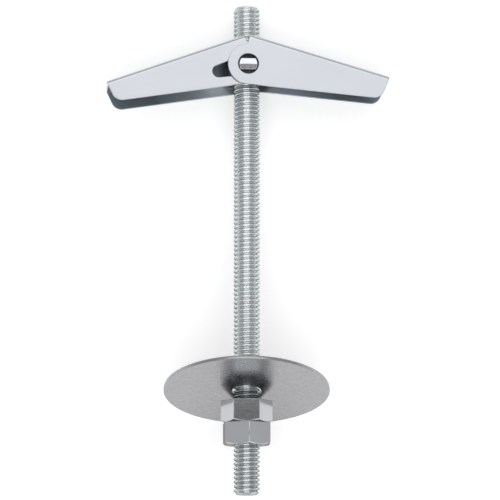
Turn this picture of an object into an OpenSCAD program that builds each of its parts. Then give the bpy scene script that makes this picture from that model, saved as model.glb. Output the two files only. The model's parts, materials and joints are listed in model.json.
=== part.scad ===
// Spring toggle bolt: a fully threaded rod, a trunnion nut with two spring-opened
// wings, a wide washer and a pair of hexagon nuts.
// It lies as it comes to rest on a table: the washer's rim holds the nuts' end up,
// and the back of the wings carries the other end. Sizes are in millimetres.
// Own frame of the bolt: X along the right wing, Y along the rod towards the wings,
// Z along the pivot, out of the face that points up. Its origin is the pivot's centre.

/* [Rod] */
// Outside diameter of the rod's thread
rod_d = 5.8; // [5:0.1:7]
// Length of the rod
rod_len = 110; // [100:1:130]
// Length of rod that stands out beyond the pivot
rod_above = 13.9; // [11:0.1:18]
// Length of the bevel on each end of the rod
rod_bevel = 0.7; // [0.6:0.1:1.2]
// Distance from one crest of the thread to the next
thread_pitch = 1.0; // [0.8:0.05:1.25]
// Depth of the thread's groove
thread_depth = 0.6; // [0.4:0.05:0.7]
// Width of the thread's crests
crest_w = 0.2; // [0.12:0.01:0.3]

/* [Wings] */
// Distance from the pivot to a wing's tip, along its web
wing_len = 31.3; // [26:0.1:36]
// Thickness of the wings' sheet
sheet_t = 0.8; // [0.6:0.05:1.1]
// Outside radius of the bend between web and flange
bend_r = 1.0; // [0.9:0.05:1.4]
// Distance from the pivot to the end of the web beside the rod, measured past the pivot
web_overrun = 1.5; // [1:0.1:1.8]
// Angle at which a flange's free edge closes in on the web
taper = 11.1; // [8:0.1:13]
// Angle at which a wing's end leans back from square
end_lean = 6; // [0:0.5:12]
// Width of the sheet around the pivot hole, at the round end of an outer flange
outer_rim = 2.3; // [1.8:0.1:2.8]
// Width of the sheet around the pivot hole, at the round end of an inner flange
inner_rim = 3.0; // [2.6:0.1:3.4]
// Depth by which an inner flange is shallower than an outer one
inner_step = 0.4; // [0.2:0.1:1]
// Radius of the tip's free corner
tip_r = 2.4; // [1.2:0.1:2.8]
// Distance from the pivot to the small end of the slot in an inner flange
slot_len = 6.8; // [5:0.1:9]
// Radius of the small end of the slot
slot_tip_r = 1.4; // [0.9:0.1:1.8]
// Angle by which the open left wing slopes away from square to the rod
left_slope = 19.5; // [14:0.5:22]
// Angle by which the open right wing slopes away from square to the rod
right_slope = 16.5; // [14:0.5:22]

/* [Trunnion nut] */
// Thickness of the barrel on each side of the rod, along the wings
barrel_side = 1.05; // [0.8:0.05:1.5]
// Thickness of the barrel on each side of the rod, along the pivot
barrel_end = 0.25; // [0.2:0.05:0.6]
// Diameter of the trunnion's pins
pin_d = 4.1; // [3.6:0.1:4.4]
// Thickness of the pins across their two flats
pin_flat = 2.5; // [2:0.1:3.2]
// Depth of the pins' ends below the faces of the outer flanges
pin_recess = 0.25; // [0.1:0.05:0.5]

/* [Spring] */
// Diameter of the spring's wire
wire_d = 0.45; // [0.35:0.05:0.6]
// Room between the coil's inside and the pin that it goes round
coil_play = 0.625; // [0.4:0.025:0.8]
// Reach of the spring's legs along the wings
leg_reach = 12; // [9:0.5:16]

/* [Washer] */
// Outside diameter of the washer
washer_d = 37; // [32:0.5:42]
// Thickness of the washer
washer_t = 0.8; // [0.6:0.1:1.2]
// Width by which the washer's hole is larger than the rod
washer_play = 0.8; // [0.7:0.1:1.2]
// Bevel on the washer's edges
washer_bevel = 0.12; // [0.05:0.01:0.2]

/* [Nuts] */
// Length of bare rod below the lower nut
stub_len = 11; // [6:0.5:16]
// Width of the nuts across their flats
nut_af = 10; // [9:0.1:11]
// Height of each nut
nut_h = 5.0; // [4:0.1:6]
// Angle by which the lower nut is turned from the upper one
nut_turn = 23.5; // [0:0.5:60]
// Width by which the flat ring on a nut's lower face lies inside the nut's flats
nut_face_inset = 0.15; // [0.1:0.05:0.6]
// Angle of the bevel between a nut's lower face and its corners
nut_bevel = 33; // [25:1:45]

/* [Fits] */
// Clearance around the rod in a thread
thread_gap = 0.05; // [0.03:0.01:0.1]
// Clearance around a pin in the wings
pin_gap = 0.25; // [0.15:0.05:0.35]
// Clearance between flanges that lie side by side
sheet_gap = 0.1; // [0.05:0.05:0.2]
// Clearance between a wing's web and the other wing's round end
web_gap = 0.6; // [0.4:0.1:1]
// Clearance between the rod and the end of a web
notch_gap = 0.4; // [0.3:0.05:0.6]
// Clearance on each side of the spring's coil
coil_gap = 0.075; // [0.05:0.025:0.15]
// Clearance between a spring leg and the web that it presses on
leg_gap = 0.1; // [0.05:0.05:0.2]
// Clearance left around the rod in the leaning washer
lean_gap = 0.13; // [0.1:0.01:0.2]
// Clearance between the leaning washer and the upper nut
seat_gap = 0.4; // [0.3:0.05:0.8]

/* [Hidden] */
$fn = 64;
// Length that a cutting shape runs past the faces that it cuts
over = 1;
// Angle between the points along an arc
arc_step = 5;

// Rod
rod_r = rod_d / 2;
rod_below = rod_len - rod_above;
thread_r = rod_r + thread_gap;
barrel_d = 2 * (thread_r + barrel_side);
barrel_len = 2 * (thread_r + barrel_end);

// Places along the pivot, from its middle outwards
coil_step = wire_d + coil_gap;
coil_room = wire_d + coil_step + 2 * coil_gap;
inner_face = barrel_len / 2 + coil_room;
inner_back = inner_face + sheet_t;
outer_face = inner_back + sheet_gap;
half_w = outer_face + sheet_t;
pin_half = half_w - pin_recess;

// Washer and nuts along the rod, from the pivot
lower_nut_below = rod_below - stub_len - nut_h;
nut_below = lower_nut_below - nut_h;
washer_hole_d = rod_d + washer_play;
washer_diagonal = sqrt(pow(washer_hole_d, 2) + pow(washer_t, 2));
washer_lean = acos((rod_d + 2 * lean_gap) / washer_diagonal) - atan(washer_t / washer_hole_d);
washer_below = nut_below - seat_gap - nut_af / 2 * tan(washer_lean) - washer_t / 2 / cos(washer_lean);

// Wing outlines, in a wing's own frame, which has X along the web and Y square to it
hole_r = pin_d / 2 + pin_gap;
outer_end_r = hole_r + outer_rim;
inner_end_r = hole_r + inner_rim;
web_height = inner_end_r + web_gap + sheet_t;
fold_height = web_height - bend_r;
end_normal = [-cos(end_lean), sin(end_lean)];
tip_point = [wing_len, web_height];

// How the bolt lies: the rod's slope comes from the washer's rim and the left wing's
// back, and the wings' roll about the rod from the right wing's tip
rim_edge = washer_t / 2 - washer_bevel;
rim_below = washer_below + washer_d / 2 * sin(washer_lean) - rim_edge * cos(washer_lean);
rim_low = washer_d / 2 * cos(washer_lean) + rim_edge * sin(washer_lean);
apex = wing_point([-web_overrun, fold_height], left_slope);
corner = wing_point([wing_len, fold_height], right_slope);
tilt = atan((rim_low - half_w) / (rim_below + apex.y));
roll = asin((half_w - inner_back + (apex.y - corner.y) * tan(tilt)) / (corner.x + apex.x));
lift = rim_low * cos(tilt) - rim_below * sin(tilt);
shift = (rod_below - rod_above) / 2 * cos(tilt);

// A point of a wing's own frame as it stands beside the rod, for a wing at this slope
function wing_point(p, slope) =
    [p.x * cos(slope) + p.y * sin(slope), p.y * cos(slope) - p.x * sin(slope)];

// The rod, the nuts and the washer as they lie
module laid() translate([0, shift, lift]) rotate([-tilt, 0, 0]) children();

// The toggle's head as it lies, rolled about the rod
module laid_head() laid() rotate([0, roll, 0]) children();

// Turns a shape that stands along Z so that it points down the rod, starting this far
// below the pivot
module down_rod(below) translate([0, -below, 0]) rotate([90, 0, 0]) children();

// Points along an arc, from one angle up to another
function arc(middle, r, from, to) =
    let (steps = ceil((to - from) / arc_step))
    [for (i = [0 : steps]) middle + r * dir(from + (to - from) * i / steps)];
function dir(angle) = [cos(angle), sin(angle)];

// Flat outline of one flange: free edge at this distance from the pivot, round end, rounded tip corner
module flange_outline(edge, end_r) {
    inset = tip_r - edge;
    end_inset = tip_r + end_normal * tip_point;
    spread = cos(taper + end_lean);
    tip_middle = [(inset * sin(end_lean) - end_inset * cos(taper)) / spread,
                  (inset * cos(end_lean) - end_inset * sin(taper)) / spread];
    polygon(concat(
        arc(tip_middle, tip_r, taper - 90, -end_lean),
        [tip_point, [-web_overrun, web_height]],
        arc([0, 0], end_r, 90 + asin(web_overrun / end_r), 270 + taper - acos(edge / end_r))));
}

// Channel section of a wing: X runs from the outer flange to the inner one, Y towards the web
module channel_section() {
    bend_inside = bend_r - sheet_t;
    difference() {
        rounded_top(-half_w, inner_back, web_height, bend_r);
        rounded_top(-outer_face, inner_face, web_height - sheet_t, bend_inside);
    }
}

// Rectangle from far below the pivot up to a top edge with two round corners
module rounded_top(left, right, top, r) {
    translate([left, -wing_len]) square([right - left, wing_len + top - r]);
    translate([left + r, 0]) square([right - left - 2 * r, top]);
    for (x = [left + r, right - r])
        translate([x, top - r]) circle(r);
}

// Teardrop through an inner flange: round at the pivot, narrow towards the tip
module teardrop() {
    lean = asin((hole_r - slot_tip_r) / slot_len);
    side = [sin(lean), cos(lean)];
    circle(hole_r);
    translate([slot_len, 0]) circle(slot_tip_r);
    polygon([hole_r * side, [slot_len, 0] + slot_tip_r * side,
             [slot_len + slot_tip_r * side.x, -slot_tip_r * side.y], [hole_r * side.x, -hole_r * side.y]]);
}

// One folded sheet wing, level, with its web along X and its outer flange at +Z
module wing(slope) {
    difference() {
        intersection() {
            translate([-wing_len, 0, 0]) rotate([0, 90, 0])
                linear_extrude(3 * wing_len) channel_section();
            union() {
                linear_extrude(half_w + over) flange_outline(outer_end_r, outer_end_r);
                translate([0, 0, -half_w - over])
                    linear_extrude(half_w + over) flange_outline(outer_end_r - inner_step, inner_end_r);
            }
        }
        translate([0, 0, outer_face - over]) cylinder(r = hole_r, h = sheet_t + 2 * over);
        translate([0, 0, -inner_back - over]) rotate(taper / 2)
            linear_extrude(sheet_t + 2 * over) teardrop();
        rotate([-90, 0, slope]) cylinder(r = rod_r + notch_gap, h = 2 * web_height);
    }
}

// Hexagon nut along Z with one flat towards +Y; its corners are beveled on the far face alone
module hex_nut() {
    corner_r = nut_af / 2 / cos(30);
    face_r = nut_af / 2 - nut_face_inset;
    bevel = (corner_r - face_r) * tan(nut_bevel);
    difference() {
        intersection() {
            cylinder(r = corner_r, h = nut_h, $fn = 6);
            rotate_extrude()
                polygon([[0, 0], [corner_r + over, 0], [corner_r + over, nut_h - bevel],
                         [corner_r, nut_h - bevel], [face_r, nut_h], [0, nut_h]]);
        }
        translate([0, 0, -over]) cylinder(r = thread_r, h = nut_h + 2 * over);
    }
}

// Right-hand thread, measured up from the rod's lower end. Three lines wind up the rod side by side: the two
// edges of the crest and the bottom of the groove. A column holds the lines' points at one angle around the
// rod, between a point on each end face. Points on the end bevels stand nearer to the rod's middle.
thread_columns = 12;
columns = [0 : thread_columns - 1];
line_place = [0, crest_w, (crest_w + thread_pitch) / 2];
line_r = [rod_r, rod_r, rod_r - thread_depth];
lines = len(line_place);
all_lines = (ceil(rod_len / thread_pitch) + 1) * lines;
end_r = rod_r - rod_bevel;
end_room = thread_pitch / 20;
function line_y(g, j) = thread_pitch * (floor(g / lines) - 1 + j / thread_columns) + line_place[g % lines];
function around_rod(r, y, j) =
    let (turn = 360 * j / thread_columns) [r * sin(turn), y, r * cos(turn)];
function line_point(g, j) =
    let (y = line_y(g, j)) around_rod(min(line_r[g % lines], end_r + min(y, rod_len - y)), y, j);
first_lines = [for (j = columns) min([for (g = [0 : 2 * lines]) if (line_y(g, j) > end_room) g])];
last_lines = [for (j = columns) max([for (g = [0 : all_lines]) if (line_y(g, j) < rod_len - end_room) g])];
rod_points = [for (j = columns) each concat(
    [around_rod(end_r, 0, j)],
    [for (g = [first_lines[j] : last_lines[j]]) line_point(g, j)],
    [around_rod(end_r, rod_len, j)])];

// Where a point is in rod_points. The column after the last one is the first one, a turn further up.
column_starts = [for (j = 0, start = 0; j < thread_columns;
                      start = start + last_lines[j] - first_lines[j] + 3, j = j + 1) start];
function first_line(j) = j < thread_columns ? first_lines[j] : first_lines[0] - lines;
function last_line(j) = j < thread_columns ? last_lines[j] : last_lines[0] - lines;
function low_end(j) = column_starts[j % thread_columns];
function line_at(g, j) = low_end(j) + 1 + g - first_line(j);
function high_end(j) = line_at(last_line(j), j) + 1;

// Faces between a column and the next one, which can begin and end one line lower
function low_faces(j) =
    let (g = first_line(j), a = low_end(j), b = low_end(j + 1))
    first_line(j + 1) == g
        ? [[a, line_at(g, j), line_at(g, j + 1), b]]
        : [[a, line_at(g, j), line_at(g, j + 1), line_at(g - 1, j + 1)], [a, line_at(g - 1, j + 1), b]];
function thread_faces(j) =
    [for (g = [first_line(j) : last_line(j + 1) - 1])
        [line_at(g, j), line_at(g + 1, j), line_at(g + 1, j + 1), line_at(g, j + 1)]];
function high_faces(j) =
    let (g = last_line(j + 1), a = high_end(j), b = high_end(j + 1))
    last_line(j) == g
        ? [[line_at(g, j), a, b, line_at(g, j + 1)]]
        : [[line_at(g, j), line_at(g + 1, j), b, line_at(g, j + 1)], [line_at(g + 1, j), a, b]];
rod_faces = concat(
    [[for (j = columns) low_end(j)]],
    [for (j = columns) each concat(low_faces(j), thread_faces(j), high_faces(j))],
    [[for (j = [thread_columns - 1 : -1 : 0]) high_end(j)]]);

module threaded_rod() {
    color("silver") laid() translate([0, -rod_below, 0]) polyhedron(rod_points, rod_faces, convexity = 8);
}

module trunnion_nut() {
    color("darkgray") laid_head() difference() {
        union() {
            translate([0, 0, -barrel_len / 2]) cylinder(d = barrel_d, h = barrel_len);
            intersection() {
                translate([0, 0, -pin_half]) cylinder(d = pin_d, h = 2 * pin_half);
                cube([2 * pin_d, pin_flat, 2 * half_w], center = true);
            }
        }
        down_rod(-barrel_d) cylinder(r = thread_r, h = 2 * barrel_d);
    }
}

// Torsion spring: a right leg, one turn around the rear pin and a left leg, as one swept wire.
// The path runs in layers along the pivot, so each ring of the wire stands on that path.
coil_r = pin_d / 2 + coil_play + wire_d / 2;
coil_rings = 28;
wire_sides = 8;
web_inside = web_height - sheet_t - leg_gap - wire_d / 2;
first_layer = -(barrel_len / 2 + coil_gap + wire_d / 2);
last_layer = first_layer - coil_step;
function leg_end(slope, side, layer) =
    [side * leg_reach, (web_inside - leg_reach * sin(slope)) / cos(slope), layer];
function coil_point(share) =
    [coil_r * cos(90 + 360 * share), coil_r * sin(90 + 360 * share), first_layer - coil_step * share];
wire_path = concat([leg_end(right_slope, 1, first_layer)],
                   [for (i = [0 : coil_rings]) coil_point(i / coil_rings)],
                   [leg_end(left_slope, -1, last_layer)]);
function wire_heading(i) =
    let (a = wire_path[max(i - 1, 0)], b = wire_path[min(i + 1, len(wire_path) - 1)])
    atan2(b.y - a.y, b.x - a.x);
wire_points = [for (i = [0 : len(wire_path) - 1], k = [0 : wire_sides - 1])
    let (heading = wire_heading(i), around = 360 * k / wire_sides)
    wire_path[i] + wire_d / 2 * [-sin(heading) * cos(around), cos(heading) * cos(around), sin(around)]];
wire_last = (len(wire_path) - 1) * wire_sides;
wire_faces = concat(
    [[for (k = [0 : wire_sides - 1]) k]],
    [for (i = [0 : len(wire_path) - 2], k = [0 : wire_sides - 1])
        let (here = i * wire_sides, next = (k + 1) % wire_sides)
        [here + k, here + wire_sides + k, here + wire_sides + next, here + next]],
    [[for (k = [wire_sides - 1 : -1 : 0]) wire_last + k]]);

module torsion_spring() {
    color("dimgray") laid_head() polyhedron(wire_points, wire_faces, convexity = 6);
}

module left_wing() {
    color("gainsboro") laid_head() rotate([0, 180, 0]) rotate(-left_slope) wing(left_slope);
}

module right_wing() {
    color("gainsboro") laid_head() rotate(-right_slope) wing(right_slope);
}

module washer() {
    outer_r = washer_d / 2;
    inner_r = washer_hole_d / 2;
    color("lightgray") laid() translate([0, -washer_below, 0]) rotate([-90 - washer_lean, 0, 0])
        translate([0, 0, -washer_t / 2]) rotate_extrude()
            polygon([[inner_r, 0], [outer_r - washer_bevel, 0], [outer_r, washer_bevel],
                     [outer_r, washer_t - washer_bevel], [outer_r - washer_bevel, washer_t],
                     [inner_r, washer_t]]);
}

module upper_nut() {
    color("gray") laid() down_rod(nut_below) hex_nut();
}

module lower_nut() {
    color("gray") laid() down_rod(lower_nut_below) rotate(nut_turn) hex_nut();
}

threaded_rod();
trunnion_nut();
torsion_spring();
left_wing();
right_wing();
washer();
upper_nut();
lower_nut();
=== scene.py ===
"""Spring toggle bolt on a white table: threaded rod, trunnion with two sprung wings, washer and two nuts."""

import json
import math

import bmesh
import bpy
from bpy.props import FloatProperty, FloatVectorProperty, IntProperty, PointerProperty
from mathutils import Matrix, Vector


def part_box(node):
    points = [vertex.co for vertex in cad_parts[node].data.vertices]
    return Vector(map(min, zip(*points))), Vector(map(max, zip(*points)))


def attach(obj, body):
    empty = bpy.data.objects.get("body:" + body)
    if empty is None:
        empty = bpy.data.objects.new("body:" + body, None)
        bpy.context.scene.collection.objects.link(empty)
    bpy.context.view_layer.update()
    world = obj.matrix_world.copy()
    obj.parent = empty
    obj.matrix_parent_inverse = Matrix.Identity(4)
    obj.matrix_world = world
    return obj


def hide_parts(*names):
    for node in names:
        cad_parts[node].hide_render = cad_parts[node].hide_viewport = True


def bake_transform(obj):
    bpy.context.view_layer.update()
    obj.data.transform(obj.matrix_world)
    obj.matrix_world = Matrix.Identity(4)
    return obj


bl_info = {
    "name": "Spring toggle bolt",
    "version": (1, 0, 0),
    "blender": (4, 5, 0),
    "location": "View3D > Sidebar > Toggle bolt",
    "description": "Dresses the toggle bolt's solids with threads, rounded sheet edges and zinc finishes",
    "category": "Object",
}

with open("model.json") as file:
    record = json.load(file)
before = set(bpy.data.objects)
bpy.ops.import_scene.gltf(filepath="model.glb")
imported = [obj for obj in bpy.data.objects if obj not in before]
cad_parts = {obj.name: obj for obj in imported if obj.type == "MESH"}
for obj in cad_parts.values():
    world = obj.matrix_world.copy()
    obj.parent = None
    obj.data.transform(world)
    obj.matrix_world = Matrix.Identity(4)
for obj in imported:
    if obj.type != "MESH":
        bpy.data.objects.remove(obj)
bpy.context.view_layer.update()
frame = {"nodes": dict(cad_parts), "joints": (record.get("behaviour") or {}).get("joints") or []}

MM = 0.001
# Largest share of the rod's direction in the normal of a face that stands beside the rod
NEARLY_SQUARE = 0.1


def joint(name):
    """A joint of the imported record, by name."""
    return next(j for j in frame["joints"] if j["name"] == name)


def axes(across, along, out, at):
    """The matrix that takes a piece's own axes to where it lies."""
    return Matrix.Translation(at) @ Matrix((across, along, out)).transposed().to_4x4()


ROD_WAY = Vector(joint("toggle_travel")["axis"]).normalized()
PIVOT_WAY = Vector(joint("left_wing_fold")["axis"]).normalized()
PIVOT = Vector(joint("left_wing_fold")["pos_m"])
SIDEWAYS = Vector((1, 0, 0))
# Own axes of the rod and of the head: X along the right wing, Y up the rod, Z out of the face that points up
BOLT = axes(SIDEWAYS, ROD_WAY, SIDEWAYS.cross(ROD_WAY), PIVOT)
HEAD = axes(ROD_WAY.cross(PIVOT_WAY), ROD_WAY, PIVOT_WAY, PIVOT)


def span(solid, way):
    """How far a solid reaches along a direction, measured from the pivot."""
    reach = [(v.co - PIVOT).dot(way) for v in frame["nodes"][solid].data.vertices]
    return min(reach), max(reach)


def width(solid, way):
    """The width of a solid along a direction."""
    low, high = span(solid, way)
    return high - low


def middle(solid):
    """The middle of a solid's box."""
    low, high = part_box(solid)
    return (low + high) / 2


def diameters(solid, centre, way):
    """The smallest and largest diameter of a solid around an axis."""
    offsets = [v.co - centre for v in frame["nodes"][solid].data.vertices]
    radii = [(offset - offset.dot(way) * way).length for offset in offsets]
    return 2 * min(radii), 2 * max(radii)


def widest_face_way(solid, wanted):
    """The normal of the largest face of a solid, among those whose normal the test accepts."""
    faces = [p for p in frame["nodes"][solid].data.polygons if wanted(p.normal)]
    return max(faces, key=lambda p: p.area).normal.copy()


def nut_flat_way(solid):
    """The normal of a nut's largest flat."""
    return widest_face_way(solid, lambda normal: abs(normal.dot(ROD_WAY)) < NEARLY_SQUARE)


ROD_D = diameters("threaded_rod", PIVOT, ROD_WAY)[1]
NUT_BORE_D = diameters("upper_nut", PIVOT, ROD_WAY)[0]
NUT_FLATS = width("upper_nut", nut_flat_way("upper_nut"))
WASHER_MIDDLE = middle("washer")
WASHER_WAY = widest_face_way("washer", lambda normal: normal.dot(ROD_WAY) > 0)
WASHER_HOLE_D, WASHER_D = diameters("washer", WASHER_MIDDLE, WASHER_WAY)
WASHER_T = width("washer", WASHER_WAY)


def length(name, description, default):
    """A size in metres."""
    return FloatProperty(name=name, description=description, default=default, unit="LENGTH", precision=5)


def angle(name, description, degrees):
    """An angle, with its default given in degrees."""
    return FloatProperty(name=name, description=description, default=math.radians(degrees), subtype="ANGLE")


def colour(name, description, default):
    """A linear colour."""
    return FloatVectorProperty(name=name, description=description, default=default, subtype="COLOR", size=3,
                               min=0, max=1)


def share(name, description, default):
    """A number from 0 to 1."""
    return FloatProperty(name=name, description=description, default=default, min=0, max=1, subtype="FACTOR")


def brightness(name, description, default):
    """A brightness, at which 1 is white."""
    return FloatProperty(name=name, description=description, default=default, min=0)


class RodSizes(bpy.types.PropertyGroup):
    """Sizes of the rolled thread"""

    outside_d: length("Outside diameter", "Diameter over the thread's crests", ROD_D)
    pitch: length("Pitch", "Distance from one crest to the next", 1.0 * MM)
    depth: length("Depth", "Depth of the thread's groove", 0.54 * MM)
    end_bevel: length("End bevel", "Length of the bevel on each end of the rod", 0.7 * MM)
    columns: IntProperty(name="Columns", description="Number of facets around the rod", default=44, min=16)


class NutSizes(bpy.types.PropertyGroup):
    """Sizes of the hexagon nuts"""

    across_flats: length("Across flats", "Width of a nut across its flats", NUT_FLATS)
    face_inset: length("Face inset", "Width by which the lower face's ring lies inside the flats", 0.15 * MM)
    bevel: angle("Bevel", "Angle of the bevel between the lower face and the corners", 33)
    corner_r: length("Corner radius", "Rounding of the six upright corners", 0.13 * MM)
    bore_d: length("Bore", "Diameter of the bore", NUT_BORE_D)
    sink: length("Countersink", "Depth of the countersink at each end of the bore", 0.3 * MM)
    edge_r: length("Edge rounding", "Rounding of the other edges", 0.07 * MM)


class WasherSizes(bpy.types.PropertyGroup):
    """Sizes of the wide washer"""

    outside_d: length("Outside diameter", "Diameter of the washer", WASHER_D)
    hole_d: length("Hole", "Diameter of the washer's hole", WASHER_HOLE_D)
    thickness: length("Thickness", "Thickness of the washer's sheet", WASHER_T)
    rolled_r: length("Rolled edge", "Rounding that the punch leaves on the side of the wings", 0.2 * MM)
    burr_r: length("Sharp edge", "Rounding of the other edges", 0.08 * MM)


class WingSizes(bpy.types.PropertyGroup):
    """Sizes of the sheet wings' finish"""

    edge_r: length("Edge rounding", "Rounding of the sheet's cut edges", 0.13 * MM)


class TrunnionSizes(bpy.types.PropertyGroup):
    """Sizes of the trunnion's finish"""

    edge_r: length("Edge rounding", "Rounding of the trunnion's edges", 0.1 * MM)
    pin_slope: angle("Pin slope", "Slope of the lower half of the pins' ends", 7)


class SpringSizes(bpy.types.PropertyGroup):
    """Sizes of the torsion spring"""

    wire_d: length("Wire", "Diameter of the wire", 0.45 * MM)
    coil_d: length("Coil", "Diameter of the coil at the middle of its wire", 5.8 * MM)
    first_layer: length("First layer", "Distance from the rod's axis to the layer of the right leg", 3.5 * MM)
    step: length("Step", "Distance between the two layers of the coil", 0.525 * MM)
    leg_reach: length("Leg reach", "Reach of each leg along its wing", 12 * MM)
    right_end: length("Right end", "Height of the right leg's end above the pivot", 2.26 * MM)
    left_end: length("Left end", "Height of the left leg's end above the pivot", 1.665 * MM)


class FinishColours(bpy.types.PropertyGroup):
    """Colours and gloss of the zinc finishes, with the colours of painted shade and painted light"""

    wing: colour("Wings", "Colour of the wings' bright zinc", (0.55, 0.57, 0.605))
    wing_patch: colour("Wing patches", "Colour of the faint patches on the wings", (0.525, 0.55, 0.585))
    wing_rough: share("Wing roughness", "Roughness of the wings", 0.25)
    # Painted shade: the wings' insides get a darker colour than their outsides, for the shade inside the
    # channels
    inside: colour("Wing insides", "Colour of the duller zinc inside the wings", (0.26, 0.305, 0.34))
    inside_patch: colour("Inside patches", "Colour of the patches inside the wings", (0.225, 0.27, 0.305))
    inside_rough: share("Inside roughness", "Roughness inside the wings", 0.4)
    # Lighter part of the painted shade inside the wings, near the rod
    inside_lighter: colour("Rubbed inside", "Colour of the brighter zinc inside the wings next to the rod",
                   (0.50, 0.56, 0.60))
    # Painted shade: a dark patch inside the wings around the pivot, where the rod and the spring shade the
    # flanges
    pivot_shade: colour("Greased inside", "Colour of the dark grease around the pivot", (0.17, 0.19, 0.20))
    # The rod's own colour stays on the crests. The grooves get a lighter colour, which is painted light that
    # lifts the shade falling in the thread's grooves.
    rod: colour("Rod", "Colour of the rod's worn crests", (0.705, 0.74, 0.75))
    rod_groove: colour("Rod grooves", "Colour of the zinc at the bottom of the thread", (0.77, 0.805, 0.815))
    # Painted shade: a dark colour on the thread between the nuts and the washer, where the washer shades it,
    # and in part on the free end
    rod_greased: colour("Greased rod", "Colour of grease on the thread above the nuts and on the free end",
                        (0.34, 0.36, 0.365))
    rod_rough: share("Rod roughness", "Roughness of the rod", 0.25)
    nut: colour("Nuts", "Colour of the nuts", (0.59, 0.60, 0.625))
    nut_patch: colour("Nut patches", "Colour of the faint patches on the nuts", (0.55, 0.56, 0.585))
    nut_rough: share("Nut roughness", "Roughness of the nuts", 0.12)
    washer: colour("Washer", "Colour of the washer", (0.36, 0.362, 0.373))
    washer_grain: colour("Washer grain", "Colour of the washer's fine grain", (0.315, 0.317, 0.327))
    washer_rough: share("Washer roughness", "Roughness of the washer", 0.285)
    pin: colour("Pin ends", "Colour of the rubbed ends of the trunnion's pins", (0.72, 0.74, 0.76))
    pin_patch: colour("Pin patches", "Colour of the faint patches on the pins' ends", (0.66, 0.68, 0.71))
    pin_rough: share("Pin roughness", "Roughness of the pins' ends", 0.15)
    # Painted shade: the trunnion's body is darker than its pins' ends, for the shade on its shoulders in the
    # pivot holes
    cast: colour("Trunnion body", "Colour of the dull cast body of the trunnion", (0.24, 0.25, 0.265))
    cast_patch: colour("Body patches", "Colour of the patches on the trunnion's body", (0.17, 0.18, 0.19))
    cast_rough: share("Body roughness", "Roughness of the trunnion's body", 0.45)
    wire: colour("Spring wire", "Colour of the spring's wire", (0.44, 0.46, 0.49))
    wire_patch: colour("Wire patches", "Colour of the faint patches on the wire", (0.34, 0.36, 0.39))
    wire_rough: share("Wire roughness", "Roughness of the wire", 0.3)


class StageSettings(bpy.types.PropertyGroup):
    """Camera, table and light"""

    camera_height: length("Camera height", "Height of the camera above the table", 750 * MM)
    camera_x: length("Camera across", "Place of the camera across the rod", 0.74 * MM)
    camera_y: length("Camera along", "Place of the camera along the rod", -0.21 * MM)
    lens_mm: FloatProperty(name="Lens", description="Focal length in millimetres", default=237.3, min=10,
                           unit="CAMERA")
    floor: colour("Floor", "Colour of the table", (0.86, 0.86, 0.86))
    floor_glow: share("Floor glow", "Brightness that the white table has by itself", 0.38)
    horizon: brightness("Horizon", "Brightness of the room near the table", 0.6)
    ceiling: brightness("Ceiling", "Brightness of the room overhead", 0.17)
    wing_light: brightness("Wing light", "Brightness of the soft light above the wings", 1.18)
    rod_light: brightness("Rod light", "Brightness of the soft light right above the rod", 1.4)
    front_light: brightness("Front light", "Brightness of the soft light past the rod's free end", 1.5)


class ToggleBolt(bpy.types.PropertyGroup):
    """All settings of the toggle bolt's scene"""

    rod: PointerProperty(name="Rod", description="Sizes of the rod", type=RodSizes)
    nuts: PointerProperty(name="Nuts", description="Sizes of the nuts", type=NutSizes)
    washer: PointerProperty(name="Washer", description="Sizes of the washer", type=WasherSizes)
    wings: PointerProperty(name="Wings", description="Sizes of the wings", type=WingSizes)
    trunnion: PointerProperty(name="Trunnion", description="Sizes of the trunnion", type=TrunnionSizes)
    spring: PointerProperty(name="Spring", description="Sizes of the spring", type=SpringSizes)
    finish: PointerProperty(name="Finishes", description="Colours of the finishes", type=FinishColours)
    stage: PointerProperty(name="Stage", description="Camera, table and light", type=StageSettings)


# Finishes

PATCH_DETAIL = 3
GRAIN_DETAIL = 5
BUMP_STRENGTH = 0.6
# Places of the colours among the sockets of a mix node
MIX_FIRST, MIX_SECOND, MIX_RESULT = 6, 7, 2
# Values between which most of a noise texture lies
NOISE_LOW, NOISE_HIGH = 0.3, 0.7
# Value up to which a layer of a mesh leaves the finish as it is
LAYER_START = 0.1


def node(tree, kind, at, **values):
    """A shader node at a place in the node editor, with its properties set."""
    made = tree.nodes.new(kind)
    made.location = at
    for name, value in values.items():
        setattr(made, name, value)
    return made


def noise(tree, coordinates, scale, detail, at):
    """A noise texture's factor, with about this many patches to the metre."""
    made = node(tree, "ShaderNodeTexNoise", at)
    made.inputs["Scale"].default_value = scale
    made.inputs["Detail"].default_value = detail
    tree.links.new(coordinates, made.inputs["Vector"])
    return made.outputs["Fac"]


def spread(tree, source, low, high, at, start=NOISE_LOW, end=NOISE_HIGH):
    """A factor that runs from low to high while its source runs from start to end."""
    made = node(tree, "ShaderNodeMapRange", at)
    for name, value in (("From Min", start), ("From Max", end), ("To Min", low), ("To Max", high)):
        made.inputs[name].default_value = value
    tree.links.new(source, made.inputs["Value"])
    return made.outputs["Result"]


def mix(tree, factor, first, second, at):
    """One colour turning into another along a factor; each may be a colour or a socket."""
    made = node(tree, "ShaderNodeMix", at, data_type="RGBA")
    tree.links.new(factor, made.inputs["Factor"])
    for socket, value in ((made.inputs[MIX_FIRST], first), (made.inputs[MIX_SECOND], second)):
        if isinstance(value, bpy.types.NodeSocket):
            tree.links.new(value, socket)
        else:
            socket.default_value = (*value, 1)
    return made.outputs[MIX_RESULT]


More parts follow.
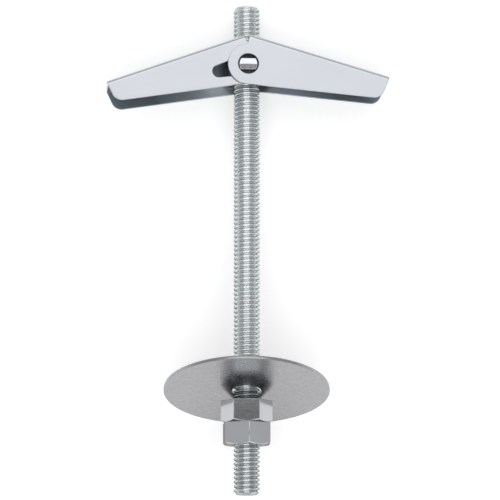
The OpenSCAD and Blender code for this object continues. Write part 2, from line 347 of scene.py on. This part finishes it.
def zinc(name, colour_a, colour_b, rough, *, patches, grain, bump, play=0.2, edge=1.0):
    """A zinc finish: two colours in soft patches, and fine grain in the gloss and in a bump.

    Patches and grain are counted to the metre, bump is the grain's height, play the share by which the grain
    changes the roughness, and edge the strength of what the surface mirrors at a grazing angle.
    """
    material = bpy.data.materials.new(name)
    material.use_nodes = True
    tree = material.node_tree
    shader = tree.nodes["Principled BSDF"]
    place = node(tree, "ShaderNodeTexCoord", (-1300, 0)).outputs["Object"]
    soft = noise(tree, place, patches, PATCH_DETAIL, (-850, 250))
    fine = noise(tree, place, grain, GRAIN_DETAIL, (-850, -150))
    tint = mix(tree, spread(tree, soft, 0, 1, (-600, 250)), colour_a, colour_b, (-350, 250))
    tree.links.new(tint, shader.inputs["Base Color"])
    gloss = spread(tree, fine, rough * (1 - play), rough * (1 + play), (-600, -50))
    tree.links.new(gloss, shader.inputs["Roughness"])
    relief = node(tree, "ShaderNodeBump", (-350, -300))
    relief.inputs["Strength"].default_value = BUMP_STRENGTH
    relief.inputs["Distance"].default_value = bump
    tree.links.new(fine, relief.inputs["Height"])
    tree.links.new(relief.outputs["Normal"], shader.inputs["Normal"])
    shader.inputs["Metallic"].default_value = 1
    shader.inputs["Specular Tint"].default_value = (edge, edge, edge, 1)
    return material


def change_colour(material, factor, other, at):
    """Lets a finish turn to another colour along a factor."""
    tree = material.node_tree
    base = tree.nodes["Principled BSDF"].inputs["Base Color"]
    own = base.links[0].from_socket
    tree.links.new(mix(tree, factor, own, other, at), base)


def change_near_pivot(material, near, start, end):
    """Gives a finish another colour within one distance of the pivot, which fades out at a larger one."""
    tree = material.node_tree
    place = node(tree, "ShaderNodeTexCoord", (-700, 700)).outputs["Object"]
    away = node(tree, "ShaderNodeVectorMath", (-500, 700), operation="DISTANCE")
    away.inputs[1].default_value = PIVOT
    tree.links.new(place, away.inputs[0])
    factor = spread(tree, away.outputs["Value"], 1, 0, (-300, 700), start, end)
    change_colour(material, factor, near, (-100, 700))


def change_by_layer(material, layer, other):
    """Gives a finish another colour where a layer of the mesh's values is high."""
    tree = material.node_tree
    value = node(tree, "ShaderNodeAttribute", (-350, 500), attribute_name=layer).outputs["Fac"]
    factor = spread(tree, value, 0, 1, (-150, 500), LAYER_START, 1)
    change_colour(material, factor, other, (0, 500))


# Meshes

EDGE_SEGMENTS = 2
# Distance up to which points of a solid count as one, and angle up to which its faces count as one flat
SAME_POINT = 0.001 * MM
SAME_FLAT = math.radians(0.5)
# Turn at which an edge is shaded as a sharp one
SHARP = math.radians(40)


def round_edges(bm, radius, least):
    """Rounds the edges at which a mesh turns by more than the least angle."""
    edges = [e for e in bm.edges if len(e.link_faces) == 2 and e.calc_face_angle() > least]
    bmesh.ops.bevel(bm, geom=edges, offset=radius, offset_type="OFFSET", segments=EDGE_SEGMENTS, profile=0.5,
                    affect="EDGES", clamp_overlap=True)


def bridge_loops(bm, loops, closed):
    """Skins a list of rings of vertices; a closed list joins its last ring to its first."""
    count = len(loops[0])
    pairs = list(zip(loops, loops[1:]))
    if closed:
        pairs.append((loops[-1], loops[0]))
    for near, far in pairs:
        for i in range(count):
            j = (i + 1) % count
            bm.faces.new((near[i], near[j], far[j], far[i]))


def solid_copy(solid):
    """A clean mesh of a solid: one vertex to a corner and one face to a flat."""
    bm = bmesh.new()
    bm.from_mesh(frame["nodes"][solid].data)
    bmesh.ops.remove_doubles(bm, verts=bm.verts, dist=SAME_POINT)
    bmesh.ops.dissolve_limit(bm, angle_limit=SAME_FLAT, verts=bm.verts, edges=bm.edges)
    return bm


def add_piece(name, bm, place, materials, sharp=SHARP):
    """Turns a mesh in a piece's own axes into an object."""
    bm.transform(place)
    bmesh.ops.recalc_face_normals(bm, faces=bm.faces)
    mesh = bpy.data.meshes.new(name)
    bm.to_mesh(mesh)
    bm.free()
    mesh.shade_smooth()
    mesh.set_sharp_from_angle(angle=sharp)
    for material in materials:
        mesh.materials.append(material)
    piece = bpy.data.objects.new(name, mesh)
    bpy.context.scene.collection.objects.link(piece)
    return piece


def keep_flats_flat(piece):
    """Lets the large faces of a piece rule the shading of its rounded edges."""
    piece.modifiers.new("flat faces", "WEIGHTED_NORMAL").keep_sharp = True


# Pieces


class BOLT_OT_rod(bpy.types.Operator):
    """Make the rod with its rolled right-hand thread"""

    bl_idname = "toggle_bolt.rod"
    bl_label = "Threaded rod"

    # Place in the pitch and depth of each line of the thread's section, from crest to crest
    SECTION = ((0.0, 0.02), (0.1, 0.0), (0.2, 0.02), (0.27, 0.06), (0.32, 0.14), (0.37, 0.3), (0.48, 0.83),
               (0.53, 0.96), (0.6, 1.0), (0.67, 0.96), (0.72, 0.83), (0.83, 0.3), (0.88, 0.14), (0.93, 0.06))
    # Turns of thread made past each end of the rod, to be cut off there
    SPARE_TURNS = 2
    # Distance within which a point counts as lying on the plane of a cut
    SNAP = 0.004 * MM
    # Share of painted shade on the free end, against the thread between the washer and the nuts
    FREE_END_SHADE = 0.41
    # Turn at which an edge of the thread is shaded as a sharp one
    THREAD_SHARP = math.radians(60)

    def thread_lines(self, bm, sizes, low, high):
        """Lines of vertices along the thread, one turn each, with their shares of groove and of painted
        shade.
        """
        groove = bm.verts.layers.float.new("groove")
        rod_shade = bm.verts.layers.float.new("rod_shade")
        nuts_bottom = span("lower_nut", ROD_WAY)[0]
        nuts_top = span("upper_nut", ROD_WAY)[1]
        washer_place = (WASHER_MIDDLE - PIVOT).dot(ROD_WAY)
        crest = sizes.outside_d / 2
        last_turn = math.ceil((high - low) / sizes.pitch) + self.SPARE_TURNS
        lines = []
        for turn in range(-self.SPARE_TURNS, last_turn):
            for place, sunk in self.SECTION:
                line = []
                for column in range(sizes.columns):
                    around = column / sizes.columns
                    y = low + (turn + place + around) * sizes.pitch
                    to_end = min(y - low, high - y)
                    radius = min(crest - sunk * sizes.depth, crest - sizes.end_bevel + to_end)
                    theta = around * math.tau
                    vert = bm.verts.new((radius * math.sin(theta), y, radius * math.cos(theta)))
                    vert[groove] = sunk
                    # Painted shade: in part on the free end, in full between the upper nut and the washer
                    if y < nuts_bottom:
                        vert[rod_shade] = self.FREE_END_SHADE
                    elif nuts_top < y < washer_place:
                        vert[rod_shade] = 1
                    line.append(vert)
                lines.append(line)
        return lines

    def skin(self, bm, lines):
        """Joins each line of the thread to the next, and its end to the start of the line one turn up."""
        turn = len(self.SECTION)
        for row in range(len(lines) - turn - 1):
            lower, upper = lines[row], lines[row + 1]
            after_lower = lower[1:] + lines[row + turn][:1]
            after_upper = upper[1:] + lines[row + 1 + turn][:1]
            for corners in zip(lower, after_lower, after_upper, upper):
                bm.faces.new(corners)

    def cut_end(self, bm, y, way):
        """Cuts the thread off square at one end of the rod and closes it."""
        bmesh.ops.bisect_plane(bm, geom=bm.verts[:] + bm.edges[:] + bm.faces[:], dist=self.SNAP,
                               plane_co=(0, y, 0), plane_no=(0, way, 0), clear_outer=True)
        on_cut = {v for v in bm.verts if abs(v.co.y - y) < 2 * self.SNAP}
        rim = [e for e in bm.edges if e.is_boundary and on_cut.issuperset(e.verts)]
        bmesh.ops.edgeloop_fill(bm, edges=rim)

    def execute(self, context):
        settings = context.scene.toggle_bolt
        finish = settings.finish
        low, high = span("threaded_rod", ROD_WAY)
        bm = bmesh.new()
        self.skin(bm, self.thread_lines(bm, settings.rod, low, high))
        self.cut_end(bm, low, -1)
        self.cut_end(bm, high, 1)
        bmesh.ops.delete(bm, geom=[v for v in bm.verts if not v.link_faces], context="VERTS")
        material = zinc("rod zinc", finish.rod, finish.rod, finish.rod_rough,
                        patches=300, grain=2500, bump=0.003 * MM, play=0.1, edge=0.25)
        # Painted light: a lighter colour in the thread's grooves, which lifts the shade that falls in them
        change_by_layer(material, "groove", finish.rod_groove)
        # Painted shade on the thread between the nuts and the washer, and in part on the free end
        change_by_layer(material, "rod_shade", finish.rod_greased)
        rod = add_piece("rod_with_thread", bm, BOLT, [material], self.THREAD_SHARP)
        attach(rod, "rod")
        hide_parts("threaded_rod")
        return {"FINISHED"}


class BOLT_OT_nuts(bpy.types.Operator):
    """Make the two hexagon nuts, bevelled on their lower faces, with countersunk bores"""

    bl_idname = "toggle_bolt.nuts"
    bl_label = "Hexagon nuts"

    FLAT_STEPS = 10
    CORNER_STEPS = 4
    # Angle from the middle of a flat to a corner
    HALF_FLAT = math.radians(30)
    # Least turn of an edge that is rounded
    ROUNDED = math.radians(25)

    def outline(self, sizes):
        """Points around the hexagon, with one flat towards +Z and rounded corners."""

        def out(turn):
            """A direction in the nut's face, turned from +Z towards +X."""
            return Vector((math.sin(turn), math.cos(turn)))

        reach = (sizes.across_flats / 2 - sizes.corner_r) / math.cos(self.HALF_FLAT)
        points = []
        for side in range(6):
            flat = 2 * side * self.HALF_FLAT
            corner = out(flat - self.HALF_FLAT) * reach
            for step in range(self.CORNER_STEPS + 1):
                turn = flat + 2 * self.HALF_FLAT * (step / self.CORNER_STEPS - 1)
                points.append(corner + out(turn) * sizes.corner_r)
            near = points[-1]
            far = out(flat + self.HALF_FLAT) * reach + out(flat) * sizes.corner_r
            points += [near.lerp(far, step / self.FLAT_STEPS) for step in range(1, self.FLAT_STEPS)]
        return points

    def make_nut(self, name, solid, sizes, material):
        """Makes one nut in place of its solid."""
        low, high = span(solid, ROD_WAY)
        flat_way = nut_flat_way(solid)
        place = axes(ROD_WAY.cross(flat_way), ROD_WAY, flat_way, PIVOT)
        face_r = sizes.across_flats / 2 - sizes.face_inset
        bore_r = sizes.bore_d / 2
        sink_r = bore_r + sizes.sink
        slope = math.tan(sizes.bevel)
        bm = bmesh.new()
        points = self.outline(sizes)
        ways = [p.normalized() for p in points]

        def ring(radius, y):
            """A circle of vertices at a height, one for each point of the outline."""
            return [bm.verts.new((way.x * radius, y, way.y * radius)) for way in ways]

        upper_rim = [bm.verts.new((p.x, high, p.y)) for p in points]
        lower_rim = [bm.verts.new((p.x, low + (p.length - face_r) * slope, p.y)) for p in points]
        above = [ring(bore_r, high - sizes.sink), ring(sink_r, high), upper_rim]
        below = [lower_rim, ring(face_r, low), ring(sink_r, low), ring(bore_r, low + sizes.sink)]
        bridge_loops(bm, above + below, closed=True)
        bmesh.ops.recalc_face_normals(bm, faces=bm.faces)
        round_edges(bm, sizes.edge_r, self.ROUNDED)
        nut = add_piece(name, bm, place, [material])
        keep_flats_flat(nut)
        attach(nut, solid)
        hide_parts(solid)

    def execute(self, context):
        settings = context.scene.toggle_bolt
        finish = settings.finish
        material = zinc("nut zinc", finish.nut, finish.nut_patch, finish.nut_rough,
                        patches=150, grain=1800, bump=0.008 * MM, edge=0.25)
        self.make_nut("upper_hexagon_nut", "upper_nut", settings.nuts, material)
        self.make_nut("lower_hexagon_nut", "lower_nut", settings.nuts, material)
        return {"FINISHED"}


class BOLT_OT_washer(bpy.types.Operator):
    """Make the wide washer with its punched edges"""

    bl_idname = "toggle_bolt.washer"
    bl_label = "Washer"

    SEGMENTS = 160
    ARC_STEPS = 4

    def section(self, sizes):
        """Points around the washer's cut section, as distances from its axis and heights."""
        half = sizes.thickness / 2
        outer, hole = sizes.outside_d / 2, sizes.hole_d / 2
        points = []
        for edge, inwards, side, radius, start in (
            (outer, -1, -1, sizes.burr_r, 270),
            (outer, -1, 1, sizes.rolled_r, 0),
            (hole, 1, 1, sizes.burr_r, 90),
            (hole, 1, -1, sizes.burr_r, 180),
        ):
            for step in range(self.ARC_STEPS + 1):
                turn = math.radians(start + 90 * step / self.ARC_STEPS)
                points.append((edge + inwards * radius + radius * math.cos(turn),
                               side * (half - radius) + radius * math.sin(turn)))
        return points

    def execute(self, context):
        settings = context.scene.toggle_bolt
        finish = settings.finish
        turns = [math.tau * i / self.SEGMENTS for i in range(self.SEGMENTS)]
        bm = bmesh.new()
        loops = []
        for r, z in self.section(settings.washer):
            loops.append([bm.verts.new((r * math.cos(turn), r * math.sin(turn), z)) for turn in turns])
        bridge_loops(bm, loops, closed=True)
        place = axes(SIDEWAYS, WASHER_WAY.cross(SIDEWAYS), WASHER_WAY, WASHER_MIDDLE)
        material = zinc("washer zinc", finish.washer, finish.washer_grain, finish.washer_rough,
                        patches=1100, grain=2200, bump=0.002 * MM)
        washer = add_piece("washer_disc", bm, place, [material])
        keep_flats_flat(washer)
        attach(washer, "washer")
        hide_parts("washer")
        return {"FINISHED"}


class BOLT_OT_wings(bpy.types.Operator):
    """Make the two folded sheet wings with rounded cut edges"""

    bl_idname = "toggle_bolt.wings"
    bl_label = "Sheet wings"

    # Least turn of an edge that is rounded
    ROUNDED = math.radians(40)
    # Least share of the pivot's direction in the normal of a flange's face
    FLANGE_FACE = 0.3
    # Distances from the pivot at which the lighter part of the painted shade, and the painted shade's dark
    # patch around the pivot, start to fade and end
    INSIDE_LIGHTER_REACH = (11 * MM, 22 * MM)
    PIVOT_SHADE_REACH = (7.3 * MM, 8.3 * MM)

    def is_inside(self, face):
        """Whether a face of a wing looks into its channel."""
        place = face.calc_center_median() - PIVOT
        out = face.normal.dot(PIVOT_WAY)
        if abs(out) > self.FLANGE_FACE:
            return out * place.dot(PIVOT_WAY) < 0
        return face.normal.dot(place) < 0

    def execute(self, context):
        settings = context.scene.toggle_bolt
        finish = settings.finish
        bright = zinc("wing zinc", finish.wing, finish.wing_patch, finish.wing_rough,
                      patches=90, grain=1500, bump=0, play=0.03)
        # Painted shade: a darker copy of the wings' zinc for the faces inside the channels, lighter near the
        # rod
        painted_shade = zinc("wing inside painted shade", finish.inside, finish.inside_patch, finish.inside_rough,
                    patches=200, grain=2200, bump=0.002 * MM)
        change_near_pivot(painted_shade, finish.inside_lighter, *self.INSIDE_LIGHTER_REACH)
        # Painted shade: the darkest patch, around the pivot
        change_near_pivot(painted_shade, finish.pivot_shade, *self.PIVOT_SHADE_REACH)
        for side in ("left", "right"):
            bm = solid_copy(f"{side}_wing")
            round_edges(bm, settings.wings.edge_r, self.ROUNDED)
            # Faces that look into the channels take the painted shade
            for face in bm.faces:
                face.material_index = int(self.is_inside(face))
            wing = add_piece(f"{side}_wing_sheet", bm, Matrix(), [bright, painted_shade])
            keep_flats_flat(wing)
            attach(wing, f"{side}_wing")
            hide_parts(f"{side}_wing")
        return {"FINISHED"}


class BOLT_OT_trunnion(bpy.types.Operator):
    """Make the trunnion that the rod screws through, with cropped pin ends"""

    bl_idname = "toggle_bolt.trunnion"
    bl_label = "Trunnion"

    # Least turn of an edge that is rounded
    ROUNDED = math.radians(40)
    # Depth to which the pins' ends are rubbed bright; faces deeper in get the body's dark colour, which is
    # painted shade for the pivot holes
    RUBBED = 0.3 * MM
    # Width of each ring of a pin's end, as a share of the whole end
    RINGS = (0.97, 0.93, 0.85, 0.75, 0.63, 0.5, 0.36, 0.2, 0.08)
    # Least share of the pivot's direction in the normal of a pin's end face
    END_FACE = 0.99
    # Largest distance of that face from the end of the pin
    END_WITHIN = 0.01 * MM

    def depth(self, face):
        """How far a face lies along the pivot."""
        return (face.calc_center_median() - PIVOT).dot(PIVOT_WAY)

    def cropped_end(self, bm, end, way, slope):
        """Shapes a pin's flat end: level on its upper half, sloping on its lower one, towards the nuts."""
        faces = [f for f in bm.faces if f.normal.dot(way * PIVOT_WAY) > self.END_FACE
                 and abs(self.depth(f) - end) < self.END_WITHIN]
        if len(faces) != 1:
            raise RuntimeError(f"a pin's end has {len(faces)} faces and not one")
        rim = faces[0].verts[:]
        centre = PIVOT + end * PIVOT_WAY
        bm.faces.remove(faces[0])
        crown = slope * max((centre - v.co).dot(ROD_WAY) for v in rim)
        loops = [rim]
        for scale in self.RINGS:
            loop = []
            for vert in rim:
                flat = (vert.co - centre) * scale
                height = crown - slope * max(0, -flat.dot(ROD_WAY))
                loop.append(bm.verts.new(centre + flat + way * height * PIVOT_WAY))
            loops.append(loop)
        bridge_loops(bm, loops, closed=False)
        top = bm.verts.new(centre + way * crown * PIVOT_WAY)
        for near, far in zip(loops[-1], loops[-1][1:] + loops[-1][:1]):
            bm.faces.new((near, far, top))

    def execute(self, context):
        settings = context.scene.toggle_bolt
        sizes = settings.trunnion
        finish = settings.finish
        low, high = span("trunnion_nut", PIVOT_WAY)
        slope = math.tan(sizes.pin_slope)
        bm = solid_copy("trunnion_nut")
        round_edges(bm, sizes.edge_r, self.ROUNDED)
        self.cropped_end(bm, low, -1, slope)
        self.cropped_end(bm, high, 1, slope)
        # Faces away from the pins' ends take the body's painted shade
        for face in bm.faces:
            face.material_index = int(low + self.RUBBED < self.depth(face) < high - self.RUBBED)
        bright = zinc("trunnion zinc", finish.pin, finish.pin_patch, finish.pin_rough,
                      patches=400, grain=2500, bump=0.001 * MM)
        painted_shade = zinc("trunnion body painted shade", finish.cast, finish.cast_patch, finish.cast_rough,
                    patches=700, grain=2500, bump=0.004 * MM)
        trunnion = add_piece("trunnion", bm, Matrix(), [bright, painted_shade])
        keep_flats_flat(trunnion)
        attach(trunnion, "toggle_head")
        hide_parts("trunnion_nut")
        return {"FINISHED"}


class BOLT_OT_spring(bpy.types.Operator):
    """Make the torsion spring: its coil on the trunnion and a leg along each wing"""

    bl_idname = "toggle_bolt.spring"
    bl_label = "Torsion spring"

    SIDES = 12
    COIL_STEPS = 48
    LEG_STEPS = 24
    # Place of the point that a leg heads for as it leaves the coil, as a share of its reach
    LEG_BEND = 0.3

    def wire(self, path, radius):
        """A round wire along points that turn about the pivot's direction."""
        bm = bmesh.new()
        loops = []
        for i, point in enumerate(path):
            before, after = path[max(i - 1, 0)], path[min(i + 1, len(path) - 1)]
            heading = math.atan2(after.y - before.y, after.x - before.x)
            side = Vector((-math.sin(heading), math.cos(heading), 0))
            loop = []
            for k in range(self.SIDES):
                around = math.tau * k / self.SIDES
                offset = side * math.cos(around) + Vector((0, 0, math.sin(around)))
                loop.append(bm.verts.new(point + offset * radius))
            loops.append(loop)
        bridge_loops(bm, loops, closed=False)
        bm.faces.new(loops[0])
        bm.faces.new(loops[-1])
        return bm

    def coil_path(self, sizes):
        """One turn from the top of the coil, from the right leg's layer to the left leg's."""
        r = sizes.coil_d / 2
        path = []
        for i in range(self.COIL_STEPS + 1):
            done = i / self.COIL_STEPS
            turn = math.radians(90 + 360 * done)
            layer = -sizes.first_layer - sizes.step * done
            path.append(Vector((r * math.cos(turn), r * math.sin(turn), layer)))
        return path

    def leg_path(self, start, bend, end):
        """A curve from the coil to a leg's end that heads for the bend at first."""
        path = []
        for i in range(self.LEG_STEPS + 1):
            t = i / self.LEG_STEPS
            path.append(start * (1 - t) ** 2 + bend * 2 * t * (1 - t) + end * t ** 2)
        return path

    def execute(self, context):
        settings = context.scene.toggle_bolt
        sizes = settings.spring
        finish = settings.finish
        material = zinc("spring wire", finish.wire, finish.wire_patch, finish.wire_rough,
                        patches=800, grain=4000, bump=0.006 * MM)
        top = sizes.coil_d / 2
        path = self.coil_path(sizes)
        coil = add_piece("spring_coil", self.wire(path, sizes.wire_d / 2), HEAD, [material])
        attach(coil, "toggle_head")
        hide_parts("torsion_spring")
        for name, reach, layer, height in (
            ("right", sizes.leg_reach, path[0].z, sizes.right_end),
            ("left", -sizes.leg_reach, path[-1].z, sizes.left_end),
        ):
            start = Vector((0, top, layer))
            bend = Vector((reach * self.LEG_BEND, top, layer))
            end = Vector((reach, height, layer))
            bm = self.wire(self.leg_path(start, bend, end), sizes.wire_d / 2)
            leg = add_piece(f"spring_{name}_leg", bm, HEAD, [material])
            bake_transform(leg)
        return {"FINISHED"}


class BOLT_OT_stage(bpy.types.Operator):
    """Set the white table, the soft lights and the camera straight above"""

    bl_idname = "toggle_bolt.stage"
    bl_label = "Stage"

    # Half of the table's width, in metres
    TABLE_HALF = 8
    # Heights of a direction at which the horizon's brightness ends and the ceiling's begins
    HORIZON_END, CEILING_START = 0.68, 0.92
    # Height of the soft lights, then each one's middle along the rod, width and depth, in metres
    LIGHT_HEIGHT = 0.6
    WING_LIGHT = (0.44, 0.72, 0.62)
    ROD_LIGHT = (-0.08, 0.6, 0.24)
    FRONT_LIGHT = (-0.475, 0.6, 0.55)
    SENSOR_MM = 36
    CLIP_START, CLIP_END = 0.01, 50

    def table_paint(self, settings):
        """A white that keeps shadows and, as the camera and shiny things see it, glows a little by itself."""
        material = bpy.data.materials.new("white table")
        material.use_nodes = True
        tree = material.node_tree
        tree.nodes.clear()
        rays = node(tree, "ShaderNodeLightPath", (-900, 0))
        seen = rays.outputs["Is Camera Ray"]
        for i, name in enumerate(("Is Glossy Ray", "Is Transmission Ray")):
            either = node(tree, "ShaderNodeMath", (-700 + 200 * i, 0), operation="MAXIMUM")
            tree.links.new(seen, either.inputs[0])
            tree.links.new(rays.outputs[name], either.inputs[1])
            seen = either.outputs[0]
        glow = node(tree, "ShaderNodeMath", (-300, 0), operation="MULTIPLY")
        tree.links.new(seen, glow.inputs[0])
        glow.inputs[1].default_value = settings.floor_glow
        emission = node(tree, "ShaderNodeEmission", (-100, 0))
        tree.links.new(glow.outputs[0], emission.inputs["Strength"])
        paint = node(tree, "ShaderNodeBsdfDiffuse", (-100, -200))
        paint.inputs["Color"].default_value = (*settings.floor, 1)
        both = node(tree, "ShaderNodeAddShader", (100, 0))
        tree.links.new(emission.outputs[0], both.inputs[0])
        tree.links.new(paint.outputs[0], both.inputs[1])
        output = node(tree, "ShaderNodeOutputMaterial", (300, 0))
        tree.links.new(both.outputs[0], output.inputs["Surface"])
        return material

    def white_table(self, settings):
        """Lays the table under the bolt."""
        bm = bmesh.new()
        bmesh.ops.create_grid(bm, x_segments=1, y_segments=1, size=self.TABLE_HALF)
        mesh = bpy.data.meshes.new("table")
        bm.to_mesh(mesh)
        bm.free()
        mesh.materials.append(self.table_paint(settings))
        table = bpy.data.objects.new("table", mesh)
        bpy.context.scene.collection.objects.link(table)

    def room(self, settings):
        """Surrounds the bolt with a room that is brighter at the horizon than overhead."""
        world = bpy.data.worlds.new("studio")
        bpy.context.scene.world = world
        world.use_nodes = True
        tree = world.node_tree
        background = tree.nodes["Background"]
        way = node(tree, "ShaderNodeTexCoord", (-900, 0)).outputs["Generated"]
        parts = node(tree, "ShaderNodeSeparateXYZ", (-700, 0))
        tree.links.new(way, parts.inputs[0])
        strength = spread(tree, parts.outputs["Z"], settings.horizon, settings.ceiling, (-500, 0),
                          self.HORIZON_END, self.CEILING_START)
        tree.links.new(strength, background.inputs["Strength"])
        background.inputs["Color"].default_value = (1, 1, 1, 1)

    def soft_light(self, name, placing, strength):
        """Hangs a level rectangle of light that shows this brightness in its reflection."""
        along, across, deep = placing
        data = bpy.data.lights.new(name, "AREA")
        data.shape = "RECTANGLE"
        data.size = across
        data.size_y = deep
        data.energy = strength * math.pi * across * deep
        light = bpy.data.objects.new(name, data)
        light.location = (0, along, self.LIGHT_HEIGHT)
        bpy.context.scene.collection.objects.link(light)

    def camera(self, settings):
        """Sets the camera straight above the bolt."""
        data = bpy.data.cameras.new("camera")
        data.sensor_width = self.SENSOR_MM
        data.lens = settings.lens_mm
        data.clip_start = self.CLIP_START
        data.clip_end = self.CLIP_END
        camera = bpy.data.objects.new("camera", data)
        camera.location = (settings.camera_x, settings.camera_y, settings.camera_height)
        bpy.context.scene.collection.objects.link(camera)
        bpy.context.scene.camera = camera

    def execute(self, context):
        settings = context.scene.toggle_bolt.stage
        context.scene.view_settings.view_transform = "Standard"
        self.white_table(settings)
        self.room(settings)
        self.soft_light("wing light", self.WING_LIGHT, settings.wing_light)
        self.soft_light("rod light", self.ROD_LIGHT, settings.rod_light)
        self.soft_light("front light", self.FRONT_LIGHT, settings.front_light)
        self.camera(settings)
        return {"FINISHED"}


class BOLT_PT_panel(bpy.types.Panel):
    """The toggle bolt's steps and their settings"""

    bl_label = "Toggle bolt"
    bl_idname = "BOLT_PT_panel"
    bl_space_type = "VIEW_3D"
    bl_region_type = "UI"
    bl_category = "Toggle bolt"

    # Properties that every group has from Blender itself
    BUILT_IN = {"rna_type", "name"}

    def draw(self, context):
        """Lists the steps and then every group of settings."""
        settings = context.scene.toggle_bolt
        for step in STEPS:
            self.layout.operator(step.bl_idname)
        for group in settings.bl_rna.properties:
            if group.identifier in self.BUILT_IN:
                continue
            box = self.layout.box()
            box.label(text=group.name)
            values = getattr(settings, group.identifier)
            for value in values.bl_rna.properties:
                if value.identifier not in self.BUILT_IN:
                    box.prop(values, value.identifier)


STEPS = (BOLT_OT_stage, BOLT_OT_rod, BOLT_OT_nuts, BOLT_OT_washer, BOLT_OT_wings, BOLT_OT_trunnion,
         BOLT_OT_spring)
GROUPS = (RodSizes, NutSizes, WasherSizes, WingSizes, TrunnionSizes, SpringSizes, FinishColours,
          StageSettings, ToggleBolt)
CLASSES = (*GROUPS, *STEPS, BOLT_PT_panel)


def register():
    """Registers the classes and the scene's settings."""
    for each in CLASSES:
        bpy.utils.register_class(each)
    bpy.types.Scene.toggle_bolt = PointerProperty(
        name="Toggle bolt", description="The toggle bolt's settings", type=ToggleBolt)


def unregister():
    """Takes the settings and the classes away again."""
    del bpy.types.Scene.toggle_bolt
    for each in reversed(CLASSES):
        bpy.utils.unregister_class(each)


def main():
    """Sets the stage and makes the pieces."""
    register()
    bpy.ops.toggle_bolt.stage()
    bpy.ops.toggle_bolt.rod()
    bpy.ops.toggle_bolt.nuts()
    bpy.ops.toggle_bolt.washer()
    bpy.ops.toggle_bolt.wings()
    bpy.ops.toggle_bolt.trunnion()
    bpy.ops.toggle_bolt.spring()


if __name__ == "__main__":
    main()
